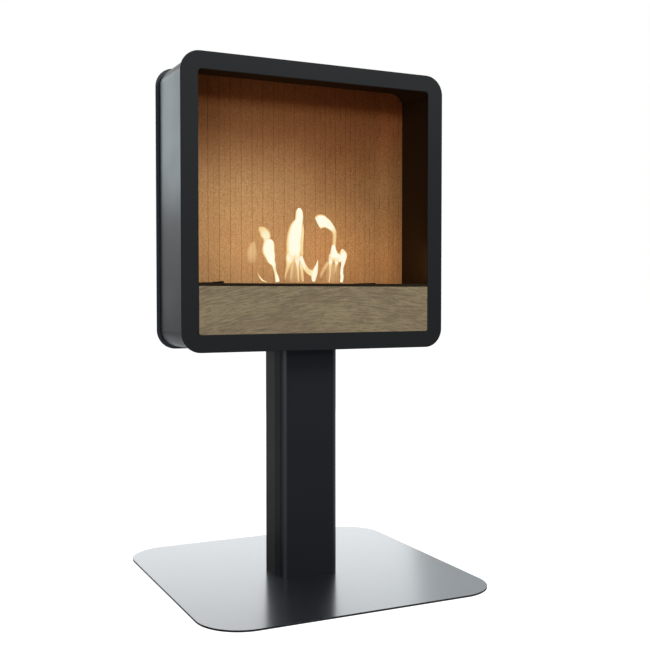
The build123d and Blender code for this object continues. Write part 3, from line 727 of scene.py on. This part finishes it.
def burner_rim():
    """Flush burner top whose sheet rolls down into the slot's collar."""
    low, face = hearth_top - hearth_wall, -12.0
    outer = edge(low, hearth_top, [0.3, 0.5])
    inner = without_ends([
        (face, hearth_top), (0.0, hearth_top), (0.0, collar_low), (-collar_wall, collar_low),
        (-collar_wall, low), (face, low),
    ], [1.6, 0.3, 0.3, 0.5])
    middle = (0.0, slot_y)
    rings = np.concatenate([
        flat_rings(burner_length, burner_width, burner_corner, middle, outer),
        flat_rings(slot_length, slot_width, slot_corner, middle, inner),
    ])
    return round_section("burner_top_skin", rings, "burner_steel", nodes=("burner_top",))


def shutter_lid():
    """Flat lid with eased edges, open under its finger scoop."""
    width, depth = shutter_right - shutter_left, shutter_back - shutter_front
    middle = (shutter_right + shutter_left) / 2, (shutter_front + shutter_back) / 2
    gap_left = scoop_left + scoop_margin
    gap_middle = (gap_left + scoop_right) / 2, middle[1]
    gap_width, gap_depth, gap_corner = scoop_right - gap_left, scoop_width - 2 * scoop_margin, 1.8
    gap = np.array([(0.0, shutter_high - 0.1), (0.0, shutter_low)])
    rings = np.concatenate([
        flat_rings(width, depth, shutter_corner, middle, edge(shutter_low, shutter_high, [0.25, 0.4])),
        flat_rings(gap_width, gap_depth, gap_corner, gap_middle, gap),
    ])
    return round_section("shutter_skin", rings, "shutter_steel", body="shutter_lid",
                         nodes=("shutter",))


def finger_scoop(steps=24):
    """Pressed scoop that rises to the right and is open at its right end.

    Across the lid, at s from -1 to 1, the sheet stands at rise * t * e * e * (3 - 2 e), where
    e = clip((1 - |s|) / 0.22, 0, 1) and t runs from 0 at the left to 1 at the right.
    """
    thick = shutter_high - shutter_low
    t = np.linspace(0, 1, steps)[:, None]
    s = np.concatenate([np.linspace(-1, -0.7, 9), np.linspace(0.7, 1, 9)])
    e = np.clip((1 - np.abs(s)) / 0.22, 0, 1)
    lift = scoop_rise * t * e * e * (3 - 2 * e)
    half = scoop_width / 2
    y = np.broadcast_to(np.concatenate([half * s, (half - thick) * s[::-1]]), (steps, 2 * len(s)))
    z = np.concatenate([shutter_high + lift, shutter_high + lift[:, ::-1] - thick], axis=1)
    x = np.broadcast_to(scoop_left + (scoop_right - scoop_left) * t, z.shape)
    middle = (shutter_front + shutter_back) / 2
    return stacked("finger_scoop_skin", np.stack([x, middle + y, z], -1), "shutter_steel",
                   body="shutter_lid")


def studs(node, places, profile, upright=True, around=24):
    """Equal turned pieces in one mesh, upright or pointing backwards, from (radius, height, six) rows.

    A ring's radius is multiplied by 1 - six + six * cos(pi / 6) / cos((t mod pi / 3) - pi / 6),
    which makes it a hexagon where six is 1.
    """
    radius, height, six = np.asarray(profile, float).T[:, :, None]
    t = np.linspace(0, 2 * np.pi, around, endpoint=False)
    flat = np.cos(np.pi / 6) / np.cos(t % (np.pi / 3) - np.pi / 6)
    reach = radius * (1 - six + six * flat)
    over, along = reach * np.cos(t), reach * np.sin(t)
    rise = np.broadcast_to(height, over.shape)
    one = np.stack([over, along, rise] if upright else [over, rise, along], -1)
    points = np.asarray(places, float)[:, None, None] + one
    skin, copied = capped(len(radius), around), len(radius) * around
    faces = [[corner + copy * copied for corner in face] for copy in range(len(points)) for face in skin]
    return piece(node + "_skin", points, faces, "dark_screw", nodes=(node,))


def rivets():
    """Domed rivets along the shutter rails: the dome is head * cos t wide and dome * sin t high."""
    shank = [(rivet_shank, rivet_foot - rivet_seat, 0.0), (rivet_shank, 0.0, 0.0)]
    dome = [(rivet_head * math.cos(t), rivet_dome * math.sin(t), 0.0)
            for t in np.linspace(0.0, 1.45, 8)]
    places = [(x, y, rivet_seat) for x in rivet_rows for y in rivet_line]
    return studs("rail_rivets", places, shank + dome)


def rear_screws():
    """Hexagon screws through the rear panel, their heads' corners turned down to a circle."""
    profile = [
        (screw_shank, -screw_depth, 1.0), (screw_shank, 0.0, 1.0), (screw_head, 0.0, 1.0),
        (screw_head, screw_rise - 0.7, 1.0), (screw_head - 0.4, screw_rise - 0.3, 0.5),
        (screw_head - 0.8, screw_rise, 0.0),
    ]
    sides = [(x * rear_screw_side, z * rear_screw_reach) for x in (-1, 1) for z in (-1, 1)]
    ends = [(x * rear_screw_reach, z * rear_screw_end) for x in (-1, 1) for z in (-1, 1)]
    places = [(x, rear_y, head_mid + z) for x, z in sides + ends]
    return studs("rear_screws", places, profile, upright=False)


front_ring()
casing()
lining()
back_panel()
grooved_board()
oak_board()
burner_rim()
shutter_lid()
finger_scoop()
rivets()
rear_screws()


# ---------------------------------------------------------------- flames

def flame_finish():
    """Burning gas: near-white inside, orange at its edges, clear at its foot and rim.

    A dense tongue is bright nearly to its rim, a thin one only along its middle.
    """
    finish = Finish("ethanol_flame", Specular_IOR_Level=0.0, Roughness=1.0, Emission_Strength=1.0,
                    Base_Color=rgba((0.0, 0.0, 0.0)))
    at = finish.node("UVMap", uv_map="UVMap")
    across, density = finish.axis("X", at), finish.axis("Y", at)
    body = 1.0 - abs(across * 2.0 - 1.0)
    wisp = finish.noise(finish.place((70.0, 70.0, 16.0)), detail=2.0)
    uneven = body + (wisp - 0.5) * 0.3
    heat = finish.between(uneven, -0.02, 0.90 - density * 0.46) * (
        finish.between(density, 0.2, 1.0, 0.22, 1.0))
    glow = finish.ramp(heat, (
        (0.0, (0.80, 0.36, 0.09)), (0.3, (0.98, 0.64, 0.28)), (0.64, (1.0, 0.82, 0.42)),
        (0.90, (1.0, 0.98, 0.79)),
    ))
    thick = finish.between(density, 0.15, 0.5)
    return finish.feed(
        Emission_Color=finish.mix(thick, rgba((1.0, 0.73, 0.38)), glow),
        Alpha=density * finish.between(uneven, 0.0, 0.84 - density * 0.50),
    )


flame = flame_finish()


def smooth_through(knots, values, places):
    """Cubic through all values, with each knot's slope taken from its two neighbours."""
    slope = np.gradient(values, knots)
    left = np.clip(np.searchsorted(knots, places, side="right") - 1, 0, len(knots) - 2)
    t = places - knots[left]
    first, last = values[left], values[left + 1]
    return ((2 * t ** 3 - 3 * t ** 2 + 1) * first + (t ** 3 - 2 * t ** 2 + t) * slope[left]
            + (3 * t ** 2 - 2 * t ** 3) * last + (t ** 3 - t ** 2) * slope[left + 1])


def tongue(name, way, thickness=0.25, steps=48):
    """A tongue of flame: a flat lens that follows a way of (x, z, half width, density) points.

    The way is a cubic through its points; a ring at each step is
    centre + across * half * cos t + depth * thickness * half * sin t.
    """
    way = np.asarray(way, float)
    knots = np.arange(len(way), dtype=float)
    fine = np.linspace(0, len(way) - 1, steps)
    x, z, half, density = [smooth_through(knots, column, fine) for column in way.T]
    half, density = np.maximum(half, 0.2)[:, None], np.clip(density, 0.0, 1.0)[:, None]
    run = unit(np.gradient(np.stack([x, z], -1), axis=0))[:, None]
    turn = np.linspace(0, 2 * np.pi, 20, endpoint=False)
    cross = half * np.cos(turn)
    points = np.stack([
        x[:, None] + run[..., 1] * cross, slot_y + thickness * half * np.sin(turn),
        z[:, None] - run[..., 0] * cross,
    ], -1)
    uv = np.stack(np.broadcast_arrays((np.cos(turn) + 1) / 2, density), -1)
    made = stacked(name, points, None, finish=flame, uv=uv, crease=180.0)
    made.visible_shadow = False
    made.visible_diffuse = False
    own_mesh(made)
    return made


# The tongues over the slot: x, z, half width and density along each one, from its foot to its tip,
# or from left to right where one joins two others.
tongues = {
    "left_ghost": [(-129, 739, 5.0, 0.0), (-129, 746, 13.0, 0.10), (-130, 756, 16.0, 0.20),
        (-130, 765, 16.4, 0.25), (-129, 775, 14.0, 0.27), (-127, 784, 9.5, 0.27),
        (-125, 793, 2.5, 0.2)],
    "left_bulb": [(-65, 699, 6.2, 1), (-67, 710, 5.4, 0.9), (-70, 720, 4.2, 0.74), (-73, 730, 4.4, 0.74),
        (-75, 739, 6.2, 0.86), (-81, 749, 10.8, 1), (-84, 759, 14.5, 1), (-88, 770, 17.0, 1),
        (-88, 782, 17.0, 1), (-87, 791, 14.9, 1), (-87, 796, 10.8, 0.95), (-87, 799, 5.8, 0.8)],
    "left_crown": [(-94, 789, 8.3, 0.70), (-94, 797, 9.5, 0.70), (-94, 804, 13.5, 0.74),
        (-97, 811, 15.0, 0.72), (-102, 818, 13.0, 0.64), (-108, 823, 9.0, 0.52), (-111, 827, 4.0, 0.35)],
    "left_wisp": [(-93, 698, 1.7, 0.4), (-103, 702, 2.3, 0.7), (-109, 708, 2.1, 0.7),
        (-113, 714, 1.7, 0.5), (-116, 722, 0.8, 0.2)],
    "tall_body": [(-21, 744, 14.9, 0.0), (-23, 754, 18.0, 0.35), (-23, 764, 20.0, 0.80),
        (-22, 779, 20.6, 1), (-22, 799, 20.6, 1), (-19, 815, 20.4, 1), (-15, 831, 17.8, 1),
        (-10, 845, 12.0, 1), (-9, 857, 11.2, 1), (-9, 867, 9.5, 1), (-9, 873, 5.6, 0.95),
        (-9, 875, 1.7, 0.9)],
    "tall_rim": [(-1, 754, 1.5, 0.2), (-2, 763, 3.6, 0.5), (-3, 773, 5.0, 0.6), (-3, 784, 5.4, 0.6),
        (-2, 799, 5.0, 0.65), (0, 813, 4.2, 0.65), (1, 826, 3.0, 0.6), (1, 837, 1.2, 0.4)],
    "tall_veil": [(-19, 698, 27.0, 0.07), (-19, 712, 27.0, 0.12), (-19, 726, 25.0, 0.16),
        (-20, 740, 22.0, 0.22), (-21, 752, 19.0, 0.22), (-22, 762, 16.0, 0.0)],
    "tall_left_leg": [(-46, 704, 2.1, 0.2), (-44, 716, 3.7, 0.4), (-40, 730, 5.0, 0.5),
        (-37, 742, 7.5, 0.62), (-34, 752, 10.8, 0.82), (-31, 762, 12.4, 0.9), (-29, 771, 10.4, 0.5)],
    "tall_inner_leg": [(-31, 704, 3.3, 0.2), (-29, 724, 3.7, 0.3), (-27, 740, 4.1, 0.35),
        (-25, 750, 5.0, 0.3)],
    "tall_right_leg": [(-11, 700, 2.5, 0.45), (-12, 720, 3.3, 0.55), (-13, 734, 4.1, 0.65),
        (-14, 744, 5.4, 0.85), (-14, 754, 8.3, 0.95), (-13, 764, 9.1, 0.8)],
    "middle_root": [(1, 700, 4.2, 0.4), (-1, 713, 4.6, 0.5), (-2, 724, 4.6, 0.55), (-4, 736, 4.6, 0.65),
        (-6, 748, 3.3, 0.6)],
    "middle_web": [(-5, 760, 5.0, 0.85), (-2, 750, 6.4, 0.85), (2, 740, 7.0, 0.78), (8, 731, 7.6, 0.68),
        (15, 724, 8.6, 0.62), (24, 720, 9.6, 0.7), (27, 719, 8.8, 0.7)],
    "middle_peak": [(29, 700, 4.6, 0.85), (29, 709, 7.5, 0.84), (31, 719, 9.9, 0.80),
        (34, 729, 7.8, 0.82), (37, 738, 5.0, 0.80), (39, 747, 2.1, 0.80), (39, 752, 0.6, 0.7)],
    "right_veil": [(77, 698, 27.0, 0.08), (78, 712, 26.0, 0.13), (79, 726, 24.0, 0.17),
        (81, 738, 21.0, 0.20), (82, 749, 17.0, 0.0)],
    "right_body": [(82, 745, 14.9, 0.0), (83, 753, 16.6, 0.45), (83, 762, 15.3, 0.9),
        (83, 769, 11.2, 1), (82, 777, 8.3, 1), (82, 784, 6.2, 1), (82, 789, 4.6, 1)],
    "right_left_leg": [(70, 698, 2.5, 0.45), (72, 713, 2.7, 0.5), (73, 725, 3.1, 0.52),
        (73, 737, 4.4, 0.6), (74, 747, 6.2, 0.8), (75, 757, 7.0, 0.8)],
    "right_inner_leg": [(87, 723, 2.5, 0.15), (88, 735, 3.7, 0.4), (90, 745, 5.4, 0.8),
        (91, 756, 7.0, 0.95), (94, 762, 5.0, 0.7)],
    "right_web": [(84, 764, 9.0, 0.9), (91, 760, 11.5, 0.88), (99, 757, 11.5, 0.86),
        (107, 759, 9.5, 0.86)],
    "hook_root": [(46, 709, 4.1, 0.1), (50, 719, 5.8, 0.25), (56, 729, 5.8, 0.3), (62, 739, 5.8, 0.4),
        (68, 747, 5.0, 0.4)],
    "hook": [(84, 785, 5.0, 0.60), (84, 797, 5.8, 0.54), (85, 810, 6.2, 0.54), (84, 820, 6.8, 0.62),
        (80, 827, 8.2, 0.75), (72, 835, 10.8, 0.88), (63, 841, 14.1, 0.97), (54, 844, 17.4, 1),
        (46, 844, 18.7, 1), (42, 843, 18.7, 0.95), (40, 842, 17.8, 0.8)],
    "right_tongue": [(103, 699, 4.6, 0.95), (105, 711, 5.0, 0.95), (104, 722, 5.0, 0.9),
        (105, 734, 4.6, 0.85), (107, 742, 5.6, 0.9), (108, 750, 7.9, 0.92), (108, 758, 10.8, 0.88),
        (108, 766, 12.0, 0.84), (107, 772, 9.6, 0.76), (106, 777, 5.6, 0.7), (105, 780, 2.4, 0.6)],
}
for name, way in tongues.items():
    tongue("flame_" + name, way)


# ---------------------------------------------------------------- stage, lights and camera

def floor_finish():
    """Pale floor with the object's soft shadow: seen as white, greyer near it and in a gloss."""
    finish = Finish("pale_floor")
    away = finish.length(finish.place())
    in_gloss = finish.node("LightPath", output="Is Glossy Ray")
    level = finish.between(away, 0.5, 1.6, 0.90, 1.0) * (1.0 - in_gloss * 0.55)
    shade = finish.node("BsdfDiffuse", {"Color": rgba((0.8, 0.8, 0.8))})
    pale = finish.node("BsdfDiffuse", {"Color": rgba((0.45, 0.45, 0.45))})
    glow = finish.node("Emission", {"Color": rgba(WHITE), "Strength": level})
    shown = finish.node("AddShader", {0: pale, 1: glow})
    return finish.show(finish.node("MixShader", {0: finish.background_seen(), 1: shade, 2: shown}))


def studio():
    """A world that lights softly and is seen as white."""
    world = bpy.data.worlds.new("studio")
    bpy.context.scene.world = world
    sky = Nodes(world)
    strength = sky.background_seen() * 0.90 + 0.10
    background = sky.node("Background", {"Color": rgba(WHITE), "Strength": strength})
    sky.node("OutputWorld", {"Surface": background})


def light(name, kind, place, power, colour, shows=True, **shape):
    """A light that the camera doesn't see, and that glossy surfaces needn't show."""
    data = bpy.data.lights.new(name, kind)
    data.energy, data.color = power, colour
    for setting, value in shape.items():
        setattr(data, setting, value)
    made = bpy.data.objects.new(name, data)
    bpy.context.scene.collection.objects.link(made)
    made.location = place
    made.visible_camera = False
    made.visible_glossy = shows
    return made


def lamp(name, place, aim, width, height, power, colour=WHITE, shows=True):
    """A soft area lamp that faces a point."""
    made = light(name, "AREA", place, power, colour, shows, shape="RECTANGLE", size=width, size_y=height)
    made.rotation_mode = "QUATERNION"
    made.rotation_quaternion = (Vector(aim) - Vector(place)).to_track_quat("-Z", "Y")


def board_lamp(name, x, z, width, height, power):
    """The flames' glow on the back board, from a lamp in front of it that no surface mirrors."""
    in_flame, past_board, warm = -0.06, 0.3, (1.0, 0.88, 0.72)
    lamp(name, (x, in_flame, z), (x, past_board, z), width, height, power, warm, shows=False)


def fire_light(name, x, z, power):
    """Warm light from inside a flame."""
    light(name, "POINT", (x, -0.012, z), power, (1.0, 0.62, 0.30), shows=False, shadow_soft_size=0.03)


floor_mesh = bpy.data.meshes.new("floor")
floor_mesh.from_pydata([(-30, -30, 0), (30, -30, 0), (30, 30, 0), (-30, 30, 0)], [], [(0, 1, 2, 3)])
floor_mesh.materials.append(floor_finish())
floor = bpy.data.objects.new("floor", floor_mesh)
bpy.context.scene.collection.objects.link(floor)
studio()

# Lights and camera: places and sizes are in metres, powers in watts.
lamp("high_key", (1.9, -2.5, 3.5), (0.0, -0.1, 0.9), 4.2, 1.6, 158.0)
lamp("front_fill", (-0.35, -3.2, 1.50), (0.0, 0.0, 0.95), 2.6, 0.25, 16.0)
lamp("corner_glow", (-2.35, -3.0, 1.25), (-0.1, 0.0, 0.65), 0.9, 1.7, 26.0, (0.82, 0.94, 1.0))
lamp("back_glow", (0.77, 3.0, 1.0), (0.0, 0.0, 0.3), 2.42, 1.3, 28.6, (0.91, 0.965, 1.0))
lamp("far_glow", (2.45, 2.60, 1.45), (0.3, 0.0, 0.2), 1.1, 1.0, 3.9, (0.72, 0.88, 1.0))
lamp("side_glow", (-1.3, 2.6, 1.66), (-0.3, 0.0, 0.8), 1.4, 1.1, 10.5, (0.80, 0.94, 1.0))
board_lamp("fire_glow_left", -0.18, 0.81, 0.29, 0.24, 0.185)
board_lamp("fire_glow_right", 0.16, 0.745, 0.42, 0.085, 0.22)
fire_light("fire_left", -0.09, 0.76, 0.05)
fire_light("fire_right", 0.10, 0.78, 0.055)

eye = bpy.data.cameras.new("photo_view")
eye.lens, eye.sensor_width = 53.71, 36.0
camera = bpy.data.objects.new("photo_view", eye)
bpy.context.scene.collection.objects.link(camera)
looks_down, turns_right = 0.0323, 0.4454
camera.location = (-0.9521, -2.1270, 0.6709)
camera.rotation_euler = (math.pi / 2 - looks_down, 0.0, -turns_right)
bpy.context.scene.camera = camera
bpy.context.scene.view_settings.view_transform = "Standard"
